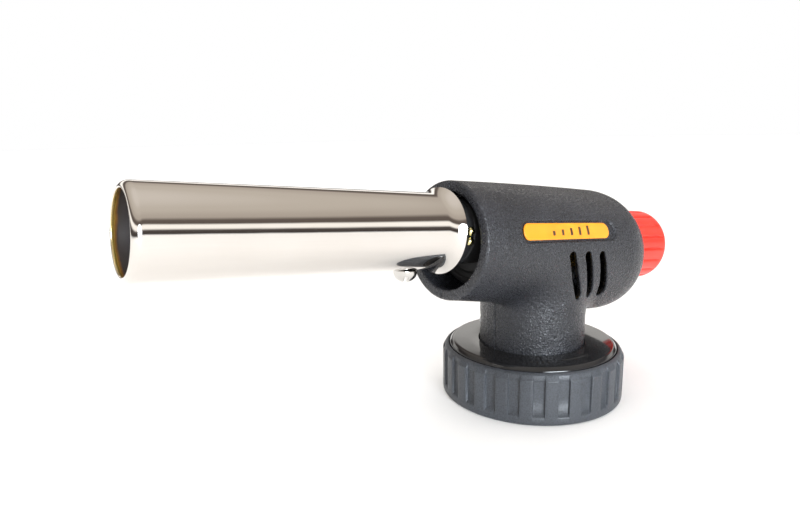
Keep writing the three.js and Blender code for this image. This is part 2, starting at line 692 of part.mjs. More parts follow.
function spindleRing() {
  const section = arcPoints(SPINDLE_RADIUS + 0.7, BOSS_REAR + 1.3, 0.5, 0, 360, 6);
  return solid(turnedAlongX(section, 14));
}

function gasKnob() {
  const shape = new THREE.Shape();
  const stepsPerFlute = 6;
  const steps = FLUTE_COUNT * stepsPerFlute;
  for (let i = 0; i < steps; i += 1) {
    const angle = (i / steps) * 2 * Math.PI;
    const groove = Math.max(0, Math.cos(FLUTE_COUNT * angle)) ** 2;
    const radius = KNOB_RADIUS - KNOB_BEVEL - FLUTE_DEPTH * groove;
    const point = [radius * Math.cos(angle), radius * Math.sin(angle)];
    if (i === 0) shape.moveTo(...point);
    else shape.lineTo(...point);
  }
  const bevel = { bevelThickness: KNOB_BEVEL, bevelSize: KNOB_BEVEL, bevelSegments: 1 };
  const depth = KNOB_FRONT - KNOB_REAR - 2 * KNOB_BEVEL;
  const body = new THREE.ExtrudeGeometry(shape, { depth, steps: 1, ...bevel });
  const dish = rodAlongX(KNOB_RADIUS - KNOB_DISH_RIM, KNOB_REAR - PAST, KNOB_REAR + KNOB_DISH, 22);
  const bore = rodAlongX(SPINDLE_RADIUS + GAP, KNOB_REAR + KNOB_END, KNOB_FRONT + PAST, 12);
  const placed = body.rotateY(Math.PI / 2).translate(KNOB_REAR + KNOB_BEVEL, 0, 0);
  return cut(solid(placed), [solid(dish), solid(bore)]);
}

// ---------- assembly ----------

const finishes = {
  housing: { color: 0x4a4c4f, roughness: 0.7, metalness: 0 },
  collar: { color: 0x505356, roughness: 0.5, metalness: 0 },
  glossBlack: { color: 0x101112, roughness: 0.12, metalness: 0 },
  red: { color: 0xe8301c, roughness: 0.35, metalness: 0 },
  plate: { color: 0xf2a516, roughness: 0.3, metalness: 0 },
  chrome: { color: 0xe6e3df, roughness: 0.06, metalness: 1 },
  steel: { color: 0xa8abad, roughness: 0.35, metalness: 1 },
  brass: { color: 0xc29a45, roughness: 0.3, metalness: 1 },
  castMetal: { color: 0x2e2f31, roughness: 0.6, metalness: 0.6 },
  rubber: { color: 0x1a1a1a, roughness: 0.85, metalness: 0 },
};

function piece(name, body, finish) {
  const mesh = new THREE.Mesh(geometryOf(body), new THREE.MeshStandardMaterial(finishes[finish]));
  mesh.name = name;
  return mesh;
}

const torch = new THREE.Group();

const head = new THREE.Group();
head.position.z = HEAD_HEIGHT;
head.rotation.y = -TILT;
torch.add(head);

const tubeAxis = new THREE.Group();
tubeAxis.position.z = TUBE_RISE;
head.add(tubeAxis);

const spindleAxis = new THREE.Group();
spindleAxis.position.z = SPINDLE_RISE;
head.add(spindleAxis);

torch.add(piece('housing_left', leftShell(), 'housing'));
torch.add(piece('housing_right', rightShell(), 'housing'));
torch.add(piece('name_plate', namePlate(), 'plate'));
torch.add(piece('valve_body', valveBody(), 'brass'));

torch.add(piece('lock_collar', lockCollar(), 'collar'));
torch.add(piece('top_disc', topDisc(), 'glossBlack'));
torch.add(piece('wave_washer', waveWasher(), 'steel'));
torch.add(piece('seat_plate', seatPlate(), 'steel'));
torch.add(piece('bayonet_plate', bayonetPlate(), 'steel'));
torch.add(piece('inlet_seal', inletSeal(), 'rubber'));
torch.add(piece('inlet_filter', inletFilter(), 'brass'));

tubeAxis.add(piece('flame_tube', flameTube(), 'chrome'));
tubeAxis.add(piece('tube_holder', tubeHolder(), 'castMetal'));
tubeAxis.add(piece('mixing_tube', mixingTube(), 'brass'));
tubeAxis.add(piece('flame_holder', flameHolder(), 'brass'));
tubeAxis.add(piece('jet_nozzle', jetNozzle(), 'brass'));
rivetHeights.forEach((height, i) => {
  tubeAxis.add(piece(`holder_rivet_${i + 1}`, holderRivet(height), 'brass'));
});

spindleAxis.add(piece('needle_spindle', spindle(), 'steel'));
spindleAxis.add(piece('spindle_o_ring', spindleRing(), 'rubber'));
spindleAxis.add(piece('gland_nut', glandNut(), 'brass'));
spindleAxis.add(piece('gas_knob', gasKnob(), 'red'));

const tubeScrew = piece('tube_screw', panScrew(SCREWS.tube), 'chrome');
tubeScrew.position.set(TUBE_SCREW_STATION, 0, -TUBE_RADIUS - GAP);
tubeAxis.add(tubeScrew);

shellScrews.forEach(([x, z], i) => {
  const screw = piece(`shell_screw_${i + 1}`, panScrew(SCREWS.shell), 'steel');
  screw.rotation.x = -Math.PI / 2;
  screw.position.set(x, WELL_FLOOR - GAP, z);
  torch.add(screw);
});

seatScrewAngles.forEach((degrees, i) => {
  const screw = piece(`seat_screw_${i + 1}`, panScrew(SCREWS.seat), 'steel');
  screw.position.set(...polar(SEAT_SCREW_CIRCLE, degrees), SEAT_Z - GAP);
  torch.add(screw);
});

thirds.forEach((degrees, i) => {
  const screw = piece(`collar_screw_${i + 1}`, panScrew(SCREWS.collar), 'steel');
  screw.position.set(...polar(COLLAR_SCREW_CIRCLE, degrees), BAYONET_Z - GAP);
  torch.add(screw);
});

export default torch;
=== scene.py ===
"""Looks of a cartridge gas torch head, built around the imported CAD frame.

Shapes are worked out in millimetres and put into meshes in metres. Pieces that lie along the flame are
built on a tilted head frame: u runs forward, v to the torch's left and w up, square to the flame tube.
"""

import json
import math

import bpy
import numpy as np
from mathutils import Matrix, Vector


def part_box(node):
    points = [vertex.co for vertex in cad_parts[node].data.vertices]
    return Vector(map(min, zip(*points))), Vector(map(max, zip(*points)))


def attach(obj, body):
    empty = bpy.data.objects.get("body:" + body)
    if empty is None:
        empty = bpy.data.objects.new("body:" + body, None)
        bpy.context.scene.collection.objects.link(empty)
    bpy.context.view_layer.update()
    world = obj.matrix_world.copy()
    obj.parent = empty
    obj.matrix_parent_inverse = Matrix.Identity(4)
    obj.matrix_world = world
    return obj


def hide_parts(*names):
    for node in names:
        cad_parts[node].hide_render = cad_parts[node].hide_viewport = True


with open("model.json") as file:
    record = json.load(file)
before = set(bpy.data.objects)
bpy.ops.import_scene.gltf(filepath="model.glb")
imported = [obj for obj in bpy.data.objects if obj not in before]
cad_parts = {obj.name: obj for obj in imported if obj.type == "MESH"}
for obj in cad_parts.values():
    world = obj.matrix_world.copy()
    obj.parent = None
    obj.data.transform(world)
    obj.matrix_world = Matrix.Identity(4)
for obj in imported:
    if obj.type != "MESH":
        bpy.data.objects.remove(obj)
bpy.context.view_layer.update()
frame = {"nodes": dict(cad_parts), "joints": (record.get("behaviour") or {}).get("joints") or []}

MM = 0.001

# ---------- places and sizes, from the frame ----------

knob_joint = next(j for j in frame["joints"] if j["name"] == "knob_turn")
axis = Vector(knob_joint["axis"])
TILT = math.atan2(-axis.z, -axis.x)
SPINDLE_RISE = -2.5
TUBE_RISE = 2.7
knob_place = Vector(knob_joint["pos_m"]) / MM
HEAD_HEIGHT = knob_place.z - knob_place.x * math.tan(TILT) - SPINDLE_RISE / math.cos(TILT)

collar_low, collar_high = (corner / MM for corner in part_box("lock_collar"))
disc_low, disc_high = (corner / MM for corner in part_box("top_disc"))
COLLAR_RADIUS = 28.0
COLLAR_TOP = collar_high.z
DISC_RADIUS = disc_high.x
DISC_TOP = disc_high.z

HOUSING_FRONT = 36.0
FRONT_RADIUS = 16.3
BELLY = -23.5
BELLY_RADIUS = 19.65
DOME_LENGTH = 18.0
DOME_POWER = 2.25  # above 2 the dome is fuller than an ellipsoid
DROP_SLOPE = 0.046
DROP_BEND = 0.0003
WALL = 2.0
LIP_WALL = 3.0
STEM_RADIUS = 16.2
STEM_WIDENING = 0.105
STEM_STRAIGHT_TOP = 27.0
STEM_TOP = 46.0
FOOT_RADIUS = 19.9
FOOT_BOTTOM = 8.0
FOOT_TOP = 12.9
POCKET_RADIUS = 12.3
POCKET_FLOOR = -33.2

TUBE_RADIUS = 10.1
TUBE_WALL = 0.6
TUBE_REAR = 39.0
MUZZLE = 117.9
KNOB_FRONT = -34.3
KNOB_REAR = -55.3
KNOB_RADIUS = 11.9
FLUTES = 18

LIP_RADIUS = 2.0
LIP_ANGLE = math.radians(65)
FLARE = 1.5
FLARE_LENGTH = 4.5

PLATE_ANGLE = math.radians(20)
PLATE_STATION = 5.3
PLATE_SIZE = (35.4, 4.7)
RECESS_SIZE = (39.3, 5.9)
RECESS_STATION = 3.9
RIB_COUNT = 25


def head_matrix(rise=0.0):
    """Metres of the head's frame, with its axis raised, to metres of the part's frame."""
    place = Matrix.Translation((0, 0, HEAD_HEIGHT * MM))
    return place @ Matrix.Rotation(-TILT, 4, "Y") @ Matrix.Translation((0, 0, rise * MM))


# ---------- meshes ----------


def make_object(name, points, faces, material, matrix=None, smooth=True):
    """An object from points in mm and a list of faces."""
    mesh = bpy.data.meshes.new(name)
    scaled = np.asarray(points, float) * MM
    mesh.from_pydata(scaled.tolist(), [], faces if isinstance(faces, list) else faces.tolist())
    mesh.validate()
    mesh.polygons.foreach_set("use_smooth", [smooth] * len(mesh.polygons))
    mesh.materials.append(material)
    piece = bpy.data.objects.new(name, mesh)
    bpy.context.scene.collection.objects.link(piece)
    if matrix is not None:
        piece.matrix_world = matrix
    return piece


def finish_piece(piece, body, slot, *nodes):
    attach(piece, body)
    if nodes:
        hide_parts(*nodes)
    return piece


def rounded(points, radius, steps=4, closed=True):
    """A polyline with its corners rounded. A third number in a point is its own radius."""
    result = []
    count = len(points)
    for i, point in enumerate(points):
        here = np.array(point[:2], float)
        own = point[2] if len(point) > 2 else radius
        if own <= 0 or (not closed and i in (0, count - 1)):
            result.append(tuple(here))
            continue
        before = np.array(points[i - 1][:2], float) - here
        after = np.array(points[(i + 1) % count][:2], float) - here
        reach = min(own, 0.45 * np.linalg.norm(before), 0.45 * np.linalg.norm(after))
        start = here + before / np.linalg.norm(before) * reach
        end = here + after / np.linalg.norm(after) * reach
        for step in range(steps + 1):
            t = step / steps
            result.append(tuple((1 - t) ** 2 * start + 2 * t * (1 - t) * here + t * t * end))
    return result


def lathe(profile, segments=160, closed=True, radial=None):
    """Points and faces of a profile of (radius, height) turned about Z. radial(angle, i) changes a radius."""
    points = []
    for j in range(segments):
        angle = 2 * math.pi * j / segments
        for i, (radius, height) in enumerate(profile):
            r = radius if radial is None else radial(angle, i, radius, height)
            points.append((r * math.cos(angle), r * math.sin(angle), height))
    count = len(profile)
    faces = []
    for j in range(segments):
        k = (j + 1) % segments
        for i in range(count if closed else count - 1):
            n = (i + 1) % count
            faces.append((j * count + i, k * count + i, k * count + n, j * count + n))
    return np.array(points), faces


def along_x(points):
    """Turned about Z becomes turned about X, with the height along X."""
    return np.stack([points[:, 2], points[:, 0], points[:, 1]], axis=1)


# A solid given by a distance-like field, made into a mesh of quads by surface nets.

CORNERS = [(i, j, k) for i in (0, 1) for j in (0, 1) for k in (0, 1)]
EDGES = [(a, b) for a in CORNERS for b in CORNERS if a < b and sum(abs(p - q) for p, q in zip(a, b)) == 1]


def sample(field, low, high, cell):
    axes = [np.arange(low[i], high[i] + cell, cell) for i in range(3)]
    values = np.empty([len(a) for a in axes], np.float32)
    y, z = np.meshgrid(axes[1], axes[2], indexing="ij")
    for i, x in enumerate(axes[0]):
        values[i] = field(np.full_like(y, x), y, z)
    return values


def net_quads(inside, index):
    quads = []
    for axis_number in range(3):
        order = [axis_number, (axis_number + 1) % 3, (axis_number + 2) % 3]
        turned_inside = inside.transpose(order)
        turned_index = index.transpose(order)
        low, high = turned_inside[:-1, 1:-1, 1:-1], turned_inside[1:, 1:-1, 1:-1]
        i, j, k = np.nonzero(low != high)
        ring = [
            turned_index[i, j, k],
            turned_index[i, j + 1, k],
            turned_index[i, j + 1, k + 1],
            turned_index[i, j, k + 1],
        ]
        faces = np.stack(ring, axis=1)
        outward = low[i, j, k]
        faces[~outward] = faces[~outward][:, ::-1]
        quads.append(faces)
    return np.concatenate(quads)


def surface_net(field, low, high, cell, settle=3):
    """Points and quads on the field's zero level, inside the box from low to high."""
    values = sample(field, low, high, cell)
    inside = values < 0
    count = np.zeros([n - 1 for n in values.shape], np.int8)
    for i, j, k in CORNERS:
        count += inside[i:, j:, k:][tuple(slice(0, n) for n in count.shape)]
    active = np.argwhere((count > 0) & (count < 8))
    index = np.full(count.shape, -1, np.int32)
    index[tuple(active.T)] = np.arange(len(active))
    total = np.zeros((len(active), 3))
    crossings = np.zeros(len(active))
    for a, b in EDGES:
        va = values[tuple((active + a).T)]
        vb = values[tuple((active + b).T)]
        crossed = (va < 0) != (vb < 0)
        t = np.where(crossed, va / np.where(crossed, va - vb, 1), 0)
        step = np.array(b) - np.array(a)
        total += crossed[:, None] * (np.array(a) + t[:, None] * step)
        crossings += crossed
    points = (active + total / crossings[:, None]) * cell + np.array(low)
    for _ in range(settle):
        points -= pull(field, points, cell)
    return points, net_quads(inside, index)


def pull(field, points, cell):
    """The step that brings points onto the field's zero level."""
    reach = cell * 0.2
    here = field(*points.T)
    slope = np.empty_like(points)
    for i in range(3):
        shift = np.zeros(3)
        shift[i] = reach
        slope[:, i] = (field(*(points + shift).T) - field(*(points - shift).T)) / (2 * reach)
    size = np.maximum((slope**2).sum(axis=1), 0.05)
    step = slope * (here / size)[:, None]
    length = np.linalg.norm(step, axis=1)
    return step * np.minimum(1, cell * 0.5 / np.maximum(length, 1e-9))[:, None]


def smooth_max(a, b, radius):
    near = np.maximum(radius - np.abs(a - b), 0) / radius
    return np.maximum(a, b) + near * near * radius / 4


def smooth_min(a, b, radius):
    return -smooth_max(-a, -b, radius)


def ease(x):
    x = np.clip(x, 0, 1)
    return x * x * (3 - 2 * x)


def rounded_box(p, q, half_length, half_width, corner):
    """Signed distance to a round-cornered rectangle."""
    a = np.abs(p) - half_length + corner
    b = np.abs(q) - half_width + corner
    return np.hypot(np.maximum(a, 0), np.maximum(b, 0)) + np.minimum(np.maximum(a, b), 0) - corner


def capsule(p, q, start, middle, end, radius):
    """Signed distance to a slot that runs through three points."""
    best = np.full_like(p, 1e9)
    for (ax, az), (bx, bz) in ((start, middle), (middle, end)):
        dx, dz = bx - ax, bz - az
        t = np.clip(((p - ax) * dx + (q - az) * dz) / (dx * dx + dz * dz), 0, 1)
        best = np.minimum(best, np.hypot(p - ax - t * dx, q - az - t * dz))
    return best - radius


# ---------- housing ----------


def to_head(x, y, z):
    c, s = math.cos(TILT), math.sin(TILT)
    return x * c + (z - HEAD_HEIGHT) * s, y, (z - HEAD_HEIGHT) * c - x * s


def drop(u):
    return DROP_SLOPE * (HOUSING_FRONT - u) + DROP_BEND * (HOUSING_FRONT - u) ** 2


def head_radius(u):
    share = (HOUSING_FRONT - u) / (HOUSING_FRONT - BELLY)
    return FRONT_RADIUS + (BELLY_RADIUS - FRONT_RADIUS) * share


def head_field(x, y, z, inset=0.0):
    u, v, w = to_head(x, y, z)
    rho = np.hypot(v, w + drop(u))
    side = rho - head_radius(np.maximum(u, BELLY)) + inset
    length, radius = DOME_LENGTH - inset, BELLY_RADIUS - inset
    n = DOME_POWER
    along = np.maximum(BELLY - u, 0) / length
    across = rho / radius
    reach = (along**n + across**n) ** (1 / n) + 1e-6
    slope = reach ** (1 - n) * np.hypot(along ** (n - 1) / length, across ** (n - 1) / radius)
    return np.where(u < BELLY, (reach - 1) / np.maximum(slope, 0.01), side)


def stem_field(x, y, z, inset=0.0):
    rise = (z - STEM_STRAIGHT_TOP) / (STEM_TOP - STEM_STRAIGHT_TOP)
    widening = 1 + STEM_WIDENING * ease(rise)
    return np.hypot(x, y / widening) - STEM_RADIUS + inset


def outside_field(x, y, z):
    """The moulded body without its openings: the head, the stem and the fillet between them."""
    u, v, w = to_head(x, y, z)
    head = smooth_max(head_field(x, y, z), u - HOUSING_FRONT, 0.9)
    stem = np.maximum(stem_field(x, y, z), z - STEM_TOP)
    rho_stem = np.hypot(x, y) + 1e-6
    rho_head = np.hypot(v, w + drop(u)) + 1e-6
    alike = np.clip(y * v / (rho_stem * rho_head), 0, 1)
    flank = ease(np.abs(y) / rho_stem / 0.5)
    blend = (1.2 + 3.4 * flank) * np.sqrt(1 - alike**2) + 0.05
    near = np.maximum(blend - np.abs(head - stem), 0) / blend
    body = np.minimum(head, stem) - near * near * blend / 4
    foot = np.maximum(np.hypot(x, y) - FOOT_RADIUS, z - FOOT_TOP)
    body = np.minimum(body, foot)
    return smooth_max(body, FOOT_BOTTOM - z, 0.5)


def shell_field(x, y, z, outside):
    """The hollow body with its mouth, knob pocket and foot bore."""
    u, v, w = to_head(x, y, z)
    lip = WALL + (LIP_WALL - WALL) * ease((u - 31) / 2)
    hollow = np.minimum(head_field(x, y, z, lip), np.maximum(stem_field(x, y, z, WALL), z - STEM_TOP))
    spindle = np.hypot(v, w - SPINDLE_RISE)
    floor = np.maximum(np.abs(u - POCKET_FLOOR - WALL / 2) - WALL / 2, spindle - FRONT_RADIUS)
    floor = np.maximum(floor, 3.0 - spindle)
    hollow = np.maximum(hollow, -floor)
    hollow = np.maximum(hollow, POCKET_FLOOR - u)
    pocket = np.maximum(spindle - POCKET_RADIUS, u - POCKET_FLOOR)
    body = smooth_max(outside, -hollow, 0.8)
    return smooth_max(body, -pocket, 1.0)


SLOTS = [
    ((4.0, 46.2), (2.0, 40.2), (-0.9, 33.7)),
    ((-2.5, 45.5), (-4.5, 39.6), (-7.3, 33.0)),
    ((-8.7, 44.8), (-10.4, 39.3), (-13.5, 32.3)),
]
SLOT_RADIUS = 1.25
SHELL_SCREWS = [(10.4, 22.5), (19.5, 39.0), (-21.5, 55.2), (-24.5, 33.0)]


def with_slots(body, x, z, outside):
    """Slots with a thin rim: their walls draw back inside the shell."""
    widening = 1.1 * ease((-outside - 0.4) / 1.0)
    for start, middle, end in SLOTS:
        slot = capsule(x, z, start, middle, end, SLOT_RADIUS) - widening
        body = smooth_max(body, -slot, 0.4)
    return body


def plate_distance(u, v, w, station, size, corner):
    """Distance to a round-cornered strip that runs straight along the head."""
    across = -v * math.sin(PLATE_ANGLE) + (w + drop(PLATE_STATION)) * math.cos(PLATE_ANGLE)
    return rounded_box(u - station, across, size[0] / 2, size[1] / 2, corner)


def left_field(x, y, z):
    u, v, w = to_head(x, y, z)
    outside = outside_field(x, y, z)
    body = shell_field(x, y, z, outside)
    recess = plate_distance(u, v, w, RECESS_STATION, RECESS_SIZE, 2.7)
    recess = np.maximum(recess, -(head_field(x, y, z) + 0.6))
    body = smooth_max(body, -np.maximum(recess, 5 - y), 0.4)
    body = with_slots(body, x, z, outside)
    return smooth_max(body, 0.04 - y, 0.35)


def right_field(x, y, z):
    outside = outside_field(x, y, z)
    body = with_slots(shell_field(x, y, z, outside), x, z, outside)
    for sx, sz in SHELL_SCREWS:
        reach = np.hypot(x - sx, z - sz)
        post = np.maximum(np.maximum(reach - 3.9, outside), y + 0.2)
        body = np.minimum(body, post)
        well = np.maximum(reach - 3.0, y + 9.5)
        body = smooth_max(body, -well, 0.5)
        body = np.maximum(body, 1.7 - reach)
    return smooth_max(body, y + 0.04, 0.35)


# ---------- materials ----------


def add(tree, kind, inputs=None, **settings):
    node = tree.nodes.new(kind)
    for key, value in settings.items():
        setattr(node, key, value)
    for key, value in (inputs or {}).items():
        if isinstance(value, bpy.types.NodeSocket):
            tree.links.new(value, node.inputs[key])
        else:
            node.inputs[key].default_value = value
    return node


def ramp(tree, factor, stops, interpolation="LINEAR"):
    node = add(tree, "ShaderNodeValToRGB", {"Fac": factor})
    node.color_ramp.interpolation = interpolation
    elements = node.color_ramp.elements
    while len(elements) > 1:
        elements.remove(elements[-1])
    for i, (position, colour) in enumerate(stops):
        element = elements[0] if i == 0 else elements.new(position)
        element.position = position
        element.color = (*colour, 1)
    return node.outputs["Color"]


def grey(value):
    return (value, value, value)


def tone(red, green, blue):
    """A colour from its screen values, 0 to 255."""
    def linear(c):
        c /= 255
        return c / 12.92 if c <= 0.04045 else ((c + 0.055) / 1.055) ** 2.4
    return (linear(red), linear(green), linear(blue))


def start_material(name, **sockets):
    material = bpy.data.materials.new(name)
    material.use_nodes = True
    tree = material.node_tree
    shader = tree.nodes["Principled BSDF"]
    for key, value in sockets.items():
        label = key.replace("_", " ")
        shader.inputs[label].default_value = (*value, 1) if isinstance(value, tuple) else value
    return material, tree, shader


def coordinates(tree, scale=(1, 1, 1)):
    place = add(tree, "ShaderNodeTexCoord").outputs["Object"]
    if scale == (1, 1, 1):
        return place
    return add(tree, "ShaderNodeMapping", {"Vector": place, "Scale": scale}).outputs["Vector"]


def noise(tree, place, scale, detail=2.0, roughness=0.5):
    inputs = {"Vector": place, "Scale": scale, "Detail": detail, "Roughness": roughness}
    return add(tree, "ShaderNodeTexNoise", inputs).outputs["Fac"]


def bump(tree, height, strength, distance, below=None):
    inputs = {"Height": height, "Strength": strength, "Distance": distance}
    if below is not None:
        inputs["Normal"] = below
    return add(tree, "ShaderNodeBump", inputs).outputs["Normal"]


def mix_colour(tree, factor, a, b):
    node = add(tree, "ShaderNodeMix", data_type="RGBA")
    for key, value in ((0, factor), (6, a), (7, b)):
        if isinstance(value, bpy.types.NodeSocket):
            tree.links.new(value, node.inputs[key])
        else:
            node.inputs[key].default_value = (*value, 1) if isinstance(value, tuple) else value
    return node.outputs[2]


def math_node(tree, operation, a, b=0.0, clamp=False):
    return add(tree, "ShaderNodeMath", {0: a, 1: b}, operation=operation, use_clamp=clamp).outputs[0]


def rise_between(tree, value, low, high):
    """0 below low, 1 above high, and smooth between."""
    inputs = {"Value": value, "From Min": low, "From Max": high}
    return add(tree, "ShaderNodeMapRange", inputs, interpolation_type="SMOOTHSTEP").outputs[0]


def textured_plastic(name, dark, light, grain, depth, roughness, spark):
    """Moulded plastic with a spark-eroded surface: fine pitting with painted shade darkening its low spots, small
    bright facets and uneven sheen.
    """
    material, tree, shader = start_material(name, IOR=1.5)
    place = coordinates(tree)
    fine = noise(tree, place, grain, 1.5, 0.6)
    coarse = noise(tree, place, grain * 0.45, 2.0, 0.5)
    patches = noise(tree, place, 60, 3.0, 0.5)
    base = ramp(tree, patches, [(0.3, dark), (0.7, light)])
    # painted shade: the base colour is darkened where the fine noise is low, the same low spots that the bump sinks
    pit_shade = ramp(tree, fine, [(0.36, grey(0.55)), (0.6, grey(1.0))])
    shaded_colour = add(tree, "ShaderNodeMix", data_type="RGBA", blend_type="MULTIPLY")
    shaded_colour.inputs[0].default_value = 1.0
    tree.links.new(base, shaded_colour.inputs[6])
    tree.links.new(pit_shade, shaded_colour.inputs[7])
    tree.links.new(shaded_colour.outputs[2], shader.inputs["Base Color"])
    facets = noise(tree, place, grain * 1.3, 0.0, 0.5)
    sheen = ramp(tree, facets, [(0.44, grey(roughness + 0.08)), (0.6, grey(roughness - spark))])
    tree.links.new(sheen, shader.inputs["Roughness"])
    lower = bump(tree, coarse, 0.5, depth * 1.4)
    tree.links.new(bump(tree, fine, 1.0, depth, lower), shader.inputs["Normal"])
    return material


def gloss_plastic():
    material, tree, shader = start_material("gloss_black", IOR=1.5, Coat_Weight=0.3, Coat_Roughness=0.04)
    place = coordinates(tree)
    smudges = noise(tree, place, 90, 4.0, 0.6)
    tree.links.new(
        ramp(tree, smudges, [(0.3, tone(20, 20, 21)), (0.75, tone(32, 32, 34))]), shader.inputs["Base Color"]
    )
    tree.links.new(ramp(tree, smudges, [(0.35, grey(0.05)), (0.8, grey(0.16))]), shader.inputs["Roughness"])
    tree.links.new(bump(tree, noise(tree, place, 160, 1.0), 0.03, 0.0004), shader.inputs["Normal"])
    return material


def red_plastic():
    material, tree, shader = start_material(
        "knob_red", IOR=1.48, Subsurface_Weight=0.12, Subsurface_Scale=0.002
    )
    place = coordinates(tree)
    cloud = noise(tree, place, 120, 4.0, 0.6)
    base = ramp(tree, cloud, [(0.3, tone(232, 38, 24)), (0.7, tone(244, 52, 34))])
    tree.links.new(base, shader.inputs["Base Color"])
    tree.links.new(ramp(tree, cloud, [(0.3, grey(0.3)), (0.7, grey(0.42))]), shader.inputs["Roughness"])
    tree.links.new(bump(tree, noise(tree, place, 2600, 2.0), 0.08, 0.0001), shader.inputs["Normal"])
    return material


def plate_paint():
    material, tree, shader = start_material("plate_yellow", IOR=1.5, Coat_Weight=0.25, Coat_Roughness=0.15)
    place = coordinates(tree)
    cloud = noise(tree, place, 160, 3.0, 0.6)
    base = ramp(tree, cloud, [(0.3, tone(230, 138, 20)), (0.7, tone(240, 150, 28))])
    tree.links.new(base, shader.inputs["Base Color"])
    tree.links.new(ramp(tree, cloud, [(0.3, grey(0.32)), (0.7, grey(0.45))]), shader.inputs["Roughness"])
    tree.links.new(bump(tree, noise(tree, place, 1400, 2.0), 0.05, 0.0001), shader.inputs["Normal"])
    return material


def ink():
    material, tree, shader = start_material("plate_ink", IOR=1.5)
    place = coordinates(tree)
    wear = noise(tree, place, 1500, 3.0, 0.6)
    base = ramp(tree, wear, [(0.3, tone(58, 34, 14)), (0.8, tone(92, 58, 22))])
    tree.links.new(base, shader.inputs["Base Color"])
    tree.links.new(ramp(tree, wear, [(0.3, grey(0.35)), (0.7, grey(0.5))]), shader.inputs["Roughness"])
    return material


def metal(name, dark, light, roughness, stretch=(1, 1, 1), grain=700, depth=0.04, patch=40):
    """Bare or plated metal: slow colour drift, drawn or machined lines and a little smudging."""
    material, tree, shader = start_material(name, Metallic=1.0)
    drift = noise(tree, coordinates(tree), patch, 3.0, 0.55)
    tree.links.new(ramp(tree, drift, [(0.3, dark), (0.7, light)]), shader.inputs["Base Color"])
    lines = noise(tree, coordinates(tree, stretch), grain, 3.0, 0.6)
    sheen = ramp(tree, lines, [(0.25, grey(roughness * 0.75)), (0.75, grey(roughness * 1.3))])
    tree.links.new(sheen, shader.inputs["Roughness"])
    tree.links.new(bump(tree, lines, depth, 0.00008), shader.inputs["Normal"])
    return material


def chrome_outside():
    material, tree, shader = start_material("tube_chrome", Metallic=1.0)
    drift = noise(tree, coordinates(tree), 30, 2.0, 0.5)
    plated = ramp(tree, drift, [(0.3, tone(222, 217, 211)), (0.7, tone(228, 224, 219))])
    tree.links.new(plated, shader.inputs["Base Color"])
    smudge = noise(tree, coordinates(tree), 220, 4.0, 0.65)
    tree.links.new(ramp(tree, smudge, [(0.35, grey(0.03)), (0.8, grey(0.08))]), shader.inputs["Roughness"])
    wavy = noise(tree, coordinates(tree, (1, 5, 5)), 60, 2.0, 0.5)
    tree.links.new(bump(tree, wavy, 0.04, 0.0003), shader.inputs["Normal"])
    return material


def tinted_and_shaded_inside():
    """The tube's inside wall: straw and gold at the lip, then brown, then painted shade that turns it near black
    further in.
    """
    material, tree, shader = start_material("tube_inside", IOR=1.5)
    place = coordinates(tree)
    x = add(tree, "ShaderNodeSeparateXYZ", {"Vector": place}).outputs["X"]
    flicker = math_node(tree, "MULTIPLY", noise(tree, place, 260, 3.0, 0.6), 0.8 * MM)
    depth = math_node(tree, "SUBTRACT", math_node(tree, "ADD", flicker, (MUZZLE - 0.6) * MM), x)
    along = math_node(tree, "MULTIPLY", depth, 1 / (10 * MM), clamp=True)
    # painted shade: the colour darkens to near black the further it lies from the lip, where the tube's inside is in
    # shade
    tint_and_shade = ramp(tree, along, [
        (0.0, tone(240, 214, 150)), (0.04, tone(236, 198, 96)), (0.09, tone(150, 105, 50)),
        (0.14, tone(56, 50, 48)), (1.0, tone(38, 37, 40)),
    ])
    tree.links.new(tint_and_shade, shader.inputs["Base Color"])
    shine = ramp(tree, along, [(0.0, grey(0.75)), (0.08, grey(0.4)), (0.14, grey(0.05))])
    tree.links.new(shine, shader.inputs["Metallic"])
    rough = ramp(tree, along, [(0.0, grey(0.22)), (0.2, grey(0.4)), (0.5, grey(0.7))])
    tree.links.new(rough, shader.inputs["Roughness"])
    tree.links.new(bump(tree, noise(tree, place, 900, 3.0), 0.1, 0.0001), shader.inputs["Normal"])
    return material


def rubber():
    material, tree, shader = start_material("rubber_black", IOR=1.5)
    place = coordinates(tree)
    dust = noise(tree, place, 300, 4.0, 0.6)
    tree.links.new(ramp(tree, dust, [(0.3, tone(26, 26, 26)), (0.75, tone(48, 47, 46))]), shader.inputs["Base Color"])
    tree.links.new(ramp(tree, dust, [(0.3, grey(0.6)), (0.7, grey(0.85))]), shader.inputs["Roughness"])
    tree.links.new(bump(tree, noise(tree, place, 1800, 2.0), 0.1, 0.0001), shader.inputs["Normal"])
    return material


housing_plastic = textured_plastic(
    "housing_black", tone(37, 38, 42), tone(47, 48, 53), 2000, 0.00032, 0.42, 0.29
)
collar_plastic = textured_plastic(
    "collar_black", tone(58, 61, 66), tone(68, 72, 78), 3000, 0.00005, 0.45, 0.1
)
disc_gloss = gloss_plastic()
knob_red = red_plastic()
plate_yellow = plate_paint()
plate_ink = ink()
chrome = chrome_outside()
tube_inside = tinted_and_shaded_inside()
steel = metal("zinc_steel", tone(150, 152, 155), tone(185, 186, 188), 0.3, (1, 1, 8), 900, 0.06)
screw_steel = metal("screw_steel", tone(200, 198, 194), tone(228, 226, 222), 0.16, (6, 6, 1), 700, 0.03)
brass = metal("brass", tone(190, 150, 76), tone(222, 186, 108), 0.24, (1, 4, 4), 900, 0.05)
rivet_brass = metal("rivet_brass", tone(222, 210, 150), tone(236, 228, 176), 0.16, (1, 1, 1), 1500, 0.02)
holder_metal = metal("cast_black", tone(30, 30, 31), tone(46, 46, 47), 0.5, (1, 1, 1), 2400, 0.3)
holder_metal.node_tree.nodes["Principled BSDF"].inputs["Metallic"].default_value = 0.3
rubber_black = rubber()

# ---------- pieces ----------

HOUSING_CELL = 0.33


